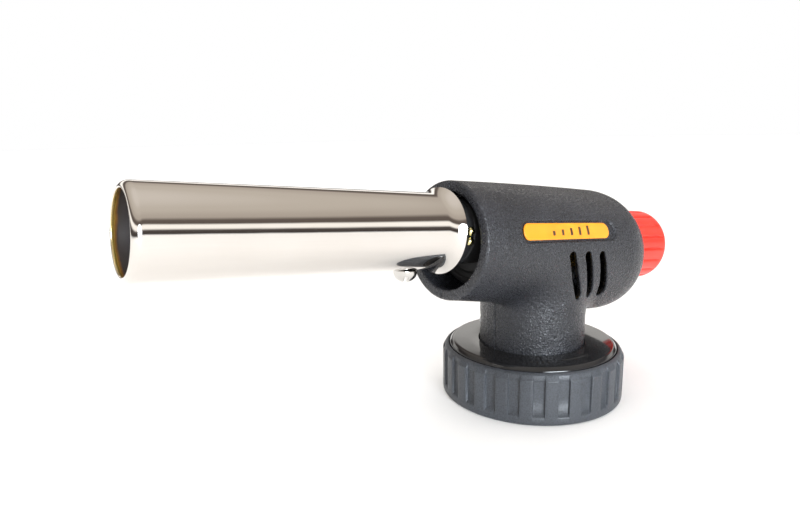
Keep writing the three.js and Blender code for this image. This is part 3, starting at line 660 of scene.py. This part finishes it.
def make_shell(name, field, side, node):
    low = [-44.0, 0.0 if side > 0 else -21.0, 7.0]
    high = [38.5, 21.0 if side > 0 else 0.0, 70.0]
    low[1] += -0.05 if side > 0 else 0.0
    if side < 0:
        low[1] = -math.ceil(21.0 / HOUSING_CELL) * HOUSING_CELL + 0.05
        high[1] = 0.05
    points, quads = surface_net(field, low, high, HOUSING_CELL)
    piece = make_object(name, points, quads, housing_plastic)
    return finish_piece(piece, "torch_body", "housing_black", node)


make_shell("shell_left", left_field, 1, "housing_left")
make_shell("shell_right", right_field, -1, "housing_right")


def plate_field(x, y, z):
    u, v, w = to_head(x, y, z)
    depth = head_field(x, y, z)
    slab = smooth_max(depth + 0.02, -depth - 0.5, 0.2)
    outline = plate_distance(u, v, w, PLATE_STATION, PLATE_SIZE, 2.1)
    return smooth_max(slab, outline, 0.3)


def make_plate():
    low, high = (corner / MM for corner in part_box("name_plate"))
    points, quads = surface_net(plate_field, low - Vector((1, 1, 1)), high + Vector((1, 1, 1)), 0.16)
    finish_piece(make_object("plate", points, quads, plate_yellow), "torch_body", "plate_yellow", "name_plate")


def plate_point(u, across, lift):
    """A point on the plate's face, from its place along and across."""
    radius = head_radius(u) + lift
    shift = (drop(u) - drop(PLATE_STATION)) * math.cos(PLATE_ANGLE)
    turned = across + shift
    out = math.sqrt(radius**2 - turned**2)
    v = out * math.cos(PLATE_ANGLE) - turned * math.sin(PLATE_ANGLE)
    w = out * math.sin(PLATE_ANGLE) + turned * math.cos(PLATE_ANGLE) - drop(u)
    return (u, v, w)


BAR_PITCH = 3.6


def make_bars():
    """Five rising bars, printed on the plate."""
    points, faces = [], []
    for bar in range(5):
        left = -3.2 + BAR_PITCH * (4 - bar)
        height = 1.3 + 0.35 * bar
        base = len(points)
        for i in range(3):
            for j in range(5):
                points.append(plate_point(left + 0.45 * i, -1.25 + height * j / 4, 0.03))
        for i in range(2):
            for j in range(4):
                a = base + i * 5 + j
                faces.append((a, a + 5, a + 6, a + 1))
    piece = make_object("plate_bars", points, faces, plate_ink, head_matrix())
    thick = piece.modifiers.new("thick", "SOLIDIFY")
    thick.thickness = 0.04 * MM
    finish_piece(piece, "torch_body", "plate_yellow")


make_plate()
make_bars()


def collar_profile():
    r, top = COLLAR_RADIUS, COLLAR_TOP
    return [
        (24.9, 0.0, 0.3), (r, 0.0, 2.6), (r, 2.2, 0), (r, 2.8, 0), (r, 3.0, 0), (r, 8.0, 0),
        (r, 12.4, 0), (r, 12.9, 0), (r, 13.3, 1.0), (r - 1.0, top - 0.35, 1.2), (DISC_RADIUS + 0.3, top, 0.2),
        (DISC_RADIUS + 0.3, 11.5, 0.1), (20.2, 11.5, 0.2), (20.2, 9.2, 0.2), (21.9, 9.2, 0.1),
        (21.9, 4.7, 0.1), (24.9, 4.7, 0.1),
    ]


def make_collar():
    profile = rounded(collar_profile(), 0.2, 5)
    pitch = 360 / RIB_COUNT
    offsets = [-3.5, -3.42, -3.3, -3.2, -2.9, -1.0, 1.0, 2.9, 3.2, 3.3, 3.42, 3.5, 5.2, 7.2, 9.2]
    depth_at = {-3.42: 0.04, -3.3: 0.5, -3.2: 0.96, 3.2: 0.96, 3.3: 0.5, 3.42: 0.04}
    points, column_depth = [], []
    for rib in range(RIB_COUNT):
        for offset in offsets:
            angle = math.radians(3.3 + pitch * rib + offset)
            depth = depth_at.get(offset, 1.0 if abs(offset) < 3.2 else 0.0)
            column_depth.append(depth)
            for radius, height in profile:
                outer = radius > COLLAR_RADIUS - 1.9
                low = min(max((height - 2.75) / 0.2, 0), 1)
                high = min(max((14.3 - height) / 1.2, 0), 1)
                cut = 0.75 * depth * low * high if outer else 0.0
                points.append(((radius - cut) * math.cos(angle), (radius - cut) * math.sin(angle), height))
    count, columns = len(profile), len(column_depth)
    faces = []
    for j in range(columns):
        k = (j + 1) % columns
        for i in range(count):
            n = (i + 1) % count
            faces.append((j * count + i, k * count + i, k * count + n, j * count + n))
    piece = make_object("collar", points, faces, collar_plastic)
    finish_piece(piece, "collar", "collar_black", "lock_collar")


def make_disc():
    profile = rounded([
        (STEM_RADIUS + 0.35, 13.2, 0.1), (DISC_RADIUS - 1, 13.2, 0.2), (DISC_RADIUS, 14.0, 0.3),
        (DISC_RADIUS, DISC_TOP - 1.1, 0.35), (DISC_RADIUS - 0.95, DISC_TOP - 0.1, 0.3),
        (DISC_RADIUS - 1.6, DISC_TOP - 0.02, 0.3), (DISC_RADIUS - 6, DISC_TOP, 0),
        (STEM_RADIUS + 0.35, DISC_TOP, 0.15),
    ], 0.2, 5)
    points, faces = lathe(profile, 256)
    piece = make_object("disc", points, faces, disc_gloss)
    finish_piece(piece, "torch_body", "disc_gloss", "top_disc")


def strip_on_disc(name, radii, angles, half_width, lift=0.22):
    """A low raised line on the disc through points given as radii and angles."""
    centre = np.array([
        (r * math.cos(math.radians(a)), r * math.sin(math.radians(a))) for r, a in zip(radii, angles)
    ])
    along = np.gradient(centre, axis=0)
    along /= np.linalg.norm(along, axis=1)[:, None]
    across = np.stack([-along[:, 1], along[:, 0]], axis=1)
    section = [(-1.0, 0.0), (-0.85, 0.6), (-0.5, 0.95), (0.0, 1.0), (0.5, 0.95), (0.85, 0.6), (1.0, 0.0)]
    points, faces = [], []
    for place, side in zip(centre, across):
        for offset, height in section:
            x, y = place + side * offset * half_width
            points.append((x, y, DISC_TOP - 0.03 + lift * height))
    count = len(section)
    for i in range(len(centre) - 1):
        for j in range(count - 1):
            a = i * count + j
            faces.append((a, a + count, a + count + 1, a + 1))
    last = (len(centre) - 1) * count
    faces.append(tuple(range(count)))
    faces.append(tuple(last + j for j in reversed(range(count))))
    piece = make_object(name, points, faces, disc_gloss)
    return finish_piece(piece, "torch_body", "disc_gloss")


make_collar()
make_disc()
strip_on_disc("disc_arrow", np.full(24, 20.6), np.linspace(66, 92, 24), 0.28)
strip_on_disc("disc_arrow_head", [19.4, 20.6, 21.8], [88.5, 92.5, 88.5], 0.26)
for mark in range(4):
    strip_on_disc(f"disc_mark_{mark + 1}", np.linspace(19.2, 21.8, 6), np.full(6, 42 + 4.2 * mark), 0.3)


def tube_profile():
    """The tube's outside from its rear edge to the turned-in lip, as (radius, station)."""
    flare = [
        (TUBE_RADIUS + FLARE * (1 - t) ** 2.2, TUBE_REAR + FLARE_LENGTH * t) for t in np.linspace(0, 1, 16)
    ]
    centre = MUZZLE - LIP_RADIUS * math.sin(LIP_ANGLE)
    straight = [(TUBE_RADIUS, s) for s in np.linspace(TUBE_REAR + FLARE_LENGTH + 1, centre - 0.5, 18)]
    return flare + straight + lip_arc(LIP_RADIUS)


def lip_arc(radius):
    """The lip's roll, at the distance radius from its own centre line."""
    centre = MUZZLE - LIP_RADIUS * math.sin(LIP_ANGLE)
    return [
        (TUBE_RADIUS - LIP_RADIUS + radius * math.cos(a), centre + radius * math.sin(a))
        for a in np.linspace(0, LIP_ANGLE, 16)
    ]


def make_tube():
    outer = tube_profile()
    rim = lip_arc(LIP_RADIUS - TUBE_WALL / 2)[-1]
    edge = [
        (rim[0] + TUBE_WALL / 2 * math.cos(a), rim[1] + TUBE_WALL / 2 * math.sin(a))
        for a in np.linspace(LIP_ANGLE, LIP_ANGLE + math.pi, 9)
    ]
    points, faces = lathe(outer + edge[1:5], 256, closed=False)
    tube = make_object("tube", along_x(points), faces, chrome, head_matrix(TUBE_RISE))
    finish_piece(tube, "torch_body", "chrome", "flame_tube")
    rear = [(outer[0][0], outer[0][1]), (outer[0][0] - TUBE_WALL * 0.5, outer[0][1] - 0.06)]
    back = [(radius - TUBE_WALL, station) for radius, station in outer[:-16]]
    roll = lip_arc(LIP_RADIUS - TUBE_WALL) + edge[:3:-1]
    points, faces = lathe(rear + back + roll, 256, closed=False)
    inside = make_object("tube_lining", along_x(points), [f[::-1] for f in faces], tube_inside, head_matrix(TUBE_RISE))
    finish_piece(inside, "torch_body", "chrome")


make_tube()


def make_holder():
    """The cast holder's flange and barrel, seen down the housing's mouth."""
    flange_rise = -TUBE_RISE - drop(25.5)
    profile = rounded([
        (5.9, 24.0, 0.2), (9.2, 24.0, 0.2), (9.2, 27.0, 0.6), (9.2, 33.0, 0.3), (9.2, 33.6, 0.2),
        (8.9, 34.0, 0.1), (8.9, 36.4, 0.1), (9.2, 36.9, 0.2), (9.2, 54.6, 0.4), (5.9, 55.0, 0.2),
    ], 0.2, 3)
    points, faces = lathe(profile, 128)
    barrel = make_object("holder_barrel", along_x(points), faces, holder_metal, head_matrix(TUBE_RISE))
    finish_piece(barrel, "torch_body", "holder_metal", "tube_holder")
    flange = rounded([
        (5.9, 24.0, 0.2), (13.9, 24.0, 0.4), (13.9, 27.0, 0.5), (12.4, 27.0, 0.2), (12.0, 26.5, 0.2),
        (10.6, 26.5, 0.2), (10.2, 27.2, 0.3), (5.9, 27.2, 0.1),
    ], 0.2, 3)
    points, faces = lathe(flange, 128)
    piece = make_object("holder_flange", along_x(points), faces, holder_metal, head_matrix(TUBE_RISE + flange_rise * 0.4))
    finish_piece(piece, "torch_body", "holder_metal")


make_holder()


def knob_radial(angle, i, radius, height):
    """Eighteen broad lobes with narrow grooves between them, fading out at the knob's rear edge."""
    phase = (FLUTES * angle / (2 * math.pi)) % 1.0
    from_groove = min(phase, 1 - phase)
    groove = math.exp(-((from_groove / 0.085) ** 2))
    crown = 0.5 - 0.5 * math.cos(2 * math.pi * phase)
    share = min(1.0, max(0.0, (radius - (KNOB_RADIUS - 1.2)) / 1.0))
    run = min(1.0, max(0.0, (height - KNOB_REAR - 0.9) / 3.0))
    return radius - share * run * (0.6 * groove + 0.1 * (1 - crown))


def make_knob():
    profile = rounded([
        (3.0, KNOB_FRONT, 0.2), (KNOB_RADIUS, KNOB_FRONT, 0.5), (KNOB_RADIUS, KNOB_FRONT - 6, 0),
        (KNOB_RADIUS, KNOB_REAR + 6, 0), (KNOB_RADIUS, KNOB_REAR + 4.4, 0), (KNOB_RADIUS, KNOB_REAR + 3.2, 0),
        (KNOB_RADIUS, KNOB_REAR + 2.2, 0), (KNOB_RADIUS, KNOB_REAR + 0.05, 1.3), (9.6, KNOB_REAR + 0.05, 0.5),
        (8.2, KNOB_REAR + 0.85, 0.5), (3.4, KNOB_REAR + 0.95, 0.4), (2.2, KNOB_REAR + 0.5, 0.5),
        (0.02, KNOB_REAR + 0.4, 0),
    ], 0.3, 6, closed=False)
    points, faces = lathe(profile, FLUTES * 24, closed=False, radial=knob_radial)
    knob = make_object("knob", along_x(points), [f[::-1] for f in faces], knob_red, head_matrix(SPINDLE_RISE))
    finish_piece(knob, "knob", "knob_red", "gas_knob")


make_knob()


def screw_field(radius, height):
    """A pan head with a cross recess: its flat underside is at zero and it rises along Z."""
    def field(x, y, z):
        rho = np.hypot(x, y)
        head = pan_head(rho, z, radius, height)
        arm, width, deep = radius * 0.55, radius * 0.13, height * 0.6
        taper = np.clip((height - z) / deep, 0, 1)
        reach = arm * (1 - 0.55 * taper)
        narrow = width * (1 - 0.4 * taper)
        cross = np.minimum(
            np.maximum(np.abs(x) - reach, np.abs(y) - narrow), np.maximum(np.abs(y) - reach, np.abs(x) - narrow)
        )
        cross = np.maximum(cross, height - deep - z)
        return smooth_max(head, -cross, 0.18)
    return field


def pan_head(rho, z, radius, height):
    side = rho - radius + 0.05
    dome_radius = (radius**2 + (height * 0.75) ** 2) / (2 * height * 0.75)
    dome = np.sqrt(rho**2 + (z - height + dome_radius) ** 2) - dome_radius
    return smooth_max(smooth_max(side, dome, 0.9), -z, 0.15)


def slotted_field(radius, height):
    """A pan head with a straight slot right across it."""
    def field(x, y, z):
        head = pan_head(np.hypot(x, y), z, radius, height)
        slot = np.maximum(np.abs(y) - 0.45, height * 0.45 - z)
        return smooth_max(head, -slot, 0.35)
    return field


def make_screw(name, radius, height, matrix, body, node, material, slot="steel", cell=0.14, field=screw_field):
    reach = radius + 0.4
    points, quads = surface_net(
        field(radius, height), (-reach, -reach, -0.4), (reach, reach, height + 0.4), cell
    )
    piece = make_object(name, points, quads, material, matrix)
    return finish_piece(piece, body, slot, node)


def facing_down(x, y, z, turn=0.0):
    """A screw's place in mm whose head looks down."""
    return (
        Matrix.Translation(Vector((x, y, z)) * MM)
        @ Matrix.Rotation(math.radians(turn), 4, "Z")
        @ Matrix.Rotation(math.pi, 4, "X")
    )


tube_screw_place = (
    head_matrix(TUBE_RISE)
    @ Matrix.Translation(Vector((49.0, 0, -TUBE_RADIUS - 0.02)) * MM)
    @ Matrix.Rotation(math.radians(62), 4, "Z")
    @ Matrix.Rotation(math.pi, 4, "X")
)
make_screw(
    "clamp_screw", 3.35, 3.3, tube_screw_place, "torch_body", "tube_screw", screw_steel, "chrome", 0.12, slotted_field
)

for i, (sx, sz) in enumerate(SHELL_SCREWS):
    place = (
        Matrix.Translation(Vector((sx, -9.6, sz)) * MM)
        @ Matrix.Rotation(math.radians(90), 4, "X")
        @ Matrix.Rotation(math.radians(20 + 37 * i), 4, "Z")
    )
    make_screw(f"body_screw_{i + 1}", 2.6, 1.8, place, "torch_body", f"shell_screw_{i + 1}", steel)

for i in range(4):
    low, high = (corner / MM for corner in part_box(f"seat_screw_{i + 1}"))
    place = facing_down((low.x + high.x) / 2, (low.y + high.y) / 2, low.z + 1.3, 30 * i)
    make_screw(f"plate_screw_{i + 1}", 2.5, 1.3, place, "torch_body", f"seat_screw_{i + 1}", steel)

for i in range(3):
    low, high = (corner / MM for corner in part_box(f"collar_screw_{i + 1}"))
    place = facing_down((low.x + high.x) / 2, (low.y + high.y) / 2, low.z + 1.0, 25 * i)
    make_screw(f"lug_screw_{i + 1}", 1.4, 1.0, place, "collar", f"collar_screw_{i + 1}", steel, "steel", 0.1)


def make_rivet(number):
    low, high = (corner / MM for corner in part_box(f"holder_rivet_{number}"))
    centre = (low + high) / 2
    profile = rounded([
        (0.55, -1.6, 0), (0.55, -0.05, 0.1), (1.2, 0.0, 0.1), (1.17, 0.6, 0.45), (0.6, 1.1, 0.45), (0.01, 1.18, 0),
    ], 0.1, 5, closed=False)
    points, faces = lathe(profile, 40, closed=False)
    place = (
        Matrix.Translation(Vector((centre.x, high.y - 1.15, centre.z)) * MM) @ Matrix.Rotation(-math.pi / 2, 4, "X")
    )
    piece = make_object(f"rivet_{number}", points, faces, rivet_brass, place)
    finish_piece(piece, "torch_body", "brass", f"holder_rivet_{number}")


make_rivet(1)
make_rivet(2)

# CAD nodes that stay: their own shapes, with softened edges and real finishes.
KEPT = {
    "valve_body": brass, "jet_nozzle": brass, "mixing_tube": brass, "flame_holder": brass, "gland_nut": brass,
    "inlet_filter": brass, "needle_spindle": steel, "wave_washer": steel, "seat_plate": steel,
    "bayonet_plate": steel, "spindle_o_ring": rubber_black, "inlet_seal": rubber_black,
}
for name, material in KEPT.items():
    node = frame["nodes"][name]
    node.data.materials.clear()
    node.data.materials.append(material)
    node.data.polygons.foreach_set("use_smooth", [True] * len(node.data.polygons))
    weld = node.modifiers.new("weld", "WELD")
    weld.merge_threshold = 0.00001
    bevel = node.modifiers.new("soft_edges", "BEVEL")
    bevel.width = 0.00012
    bevel.segments = 2
    bevel.limit_method = "ANGLE"
    bevel.angle_limit = math.radians(35)
    bevel.harden_normals = True

# ---------- studio ----------

scene = bpy.context.scene
scene.view_settings.view_transform = "Standard"
scene.view_settings.look = "None"

CAMERA_PLACE = Vector((0.1407, 0.1224, 0.0805))
camera_data = bpy.data.cameras.new("camera")
camera = bpy.data.objects.new("camera", camera_data)
scene.collection.objects.link(camera)
camera_data.lens = 27.0
camera_data.sensor_width = 36.0
camera_data.sensor_fit = "HORIZONTAL"
camera_data.clip_start = 0.005
camera_data.clip_end = 20.0
forward = Vector((-0.5767, -0.7885, -0.2137)).normalized()
up = Vector((-0.1424, -0.1605, 0.9767))
right = forward.cross(up).normalized()
up = right.cross(forward).normalized()
rotation = Matrix((right, up, -forward)).transposed()
camera.matrix_world = Matrix.Translation(CAMERA_PLACE) @ rotation.to_4x4()
scene.camera = camera


# A plain studio: a dark skirting at the horizon, one soft bright band on the wall, and a pale ceiling.
ROOM = [
    (-1.0, grey(0.80)), (0.0, grey(0.80)), (0.04, (0.07, 0.06, 0.055)), (0.14, (0.10, 0.085, 0.08)),
    (0.24, (1.30, 1.26, 1.20)), (0.32, (1.30, 1.26, 1.20)), (0.40, (0.14, 0.115, 0.10)),
    (0.48, (0.16, 0.13, 0.115)), (0.60, (0.55, 0.49, 0.43)), (0.80, (0.66, 0.60, 0.53)), (1.0, (0.80, 0.74, 0.68)),
]


# A soft-edged window on the torch's left: its direction, the cosines of its edge and its full part.
WINDOW_WAY = Vector((0.26, 0.95, 0.12)).normalized()
WINDOW_EDGE = math.cos(math.radians(19))
WINDOW_HEART = math.cos(math.radians(7))
WINDOW_LIGHT = (24.0, 26.0, 28.0)


def make_world():
    """A soft room that changes with height, one soft window, and a white background for the camera."""
    world = bpy.data.worlds.new("studio")
    scene.world = world
    world.use_nodes = True
    tree = world.node_tree
    tree.nodes.clear()
    direction = add(tree, "ShaderNodeTexCoord").outputs["Generated"]
    z = add(tree, "ShaderNodeSeparateXYZ", {"Vector": direction}).outputs["Z"]
    height = math_node(tree, "MULTIPLY", math_node(tree, "ADD", z, 1.0), 0.5)
    room = ramp(tree, height, [((h + 1) / 2, colour) for h, colour in ROOM], "EASE")
    facing = add(tree, "ShaderNodeVectorMath", {0: direction, 1: WINDOW_WAY}, operation="DOT_PRODUCT")
    glow = rise_between(tree, facing.outputs["Value"], WINDOW_EDGE, WINDOW_HEART)
    room = mix_colour(tree, glow, room, WINDOW_LIGHT)
    is_camera = add(tree, "ShaderNodeLightPath").outputs["Is Camera Ray"]
    shown = mix_colour(tree, is_camera, room, (1.0, 1.0, 1.0))
    background = add(tree, "ShaderNodeBackground", {"Color": shown, "Strength": 1.0})
    output = add(tree, "ShaderNodeOutputWorld")
    tree.links.new(background.outputs[0], output.inputs["Surface"])


make_world()


def floor_material(name, glow):
    material, tree, shader = start_material(name, Roughness=0.75, Emission_Strength=glow)
    shader.inputs["Emission Color"].default_value = (0.975, 0.99, 1.0, 1)
    place = coordinates(tree)
    paper = noise(tree, place, 35, 3.0, 0.5)
    base = ramp(tree, paper, [(0.3, grey(0.79)), (0.7, grey(0.82))])
    tree.links.new(base, shader.inputs["Base Color"])
    tree.links.new(bump(tree, noise(tree, place, 800, 2.0), 0.02, 0.0001), shader.inputs["Normal"])
    return material


def make_floor():
    big = 6000.0
    floor = make_object(
        "floor", [(-big, -big, 0), (big, -big, 0), (big, big, 0), (-big, big, 0)], [(0, 1, 2, 3)],
        floor_material("floor_paper", 0.1),
    )
    floor.location.z = -0.00005


make_floor()


def area_light(name, place, target, size, power, colour, glossy=True):
    data = bpy.data.lights.new(name, "AREA")
    data.shape = "RECTANGLE"
    data.size, data.size_y = size
    data.energy = power
    data.color = colour
    light = bpy.data.objects.new(name, data)
    scene.collection.objects.link(light)
    light.location = place
    light.rotation_mode = "QUATERNION"
    light.rotation_quaternion = (Vector(target) - Vector(place)).to_track_quat("-Z", "Y")
    light.visible_camera = False
    light.visible_glossy = glossy
    return light


middle = Vector((0.0, 0.0, 0.035))
area_light("fill", (0.75, 0.55, 0.35), middle, (0.6, 0.6), 2.0, (1.0, 1.0, 1.0), glossy=False)
ceiling_data = bpy.data.lights.new("ceiling", "SUN")
ceiling_data.energy = 2.2
ceiling_data.angle = math.radians(90)
ceiling = bpy.data.objects.new("ceiling", ceiling_data)
ceiling.rotation_euler = (math.radians(12), math.radians(-8), 0)
ceiling.visible_glossy = False
scene.collection.objects.link(ceiling)
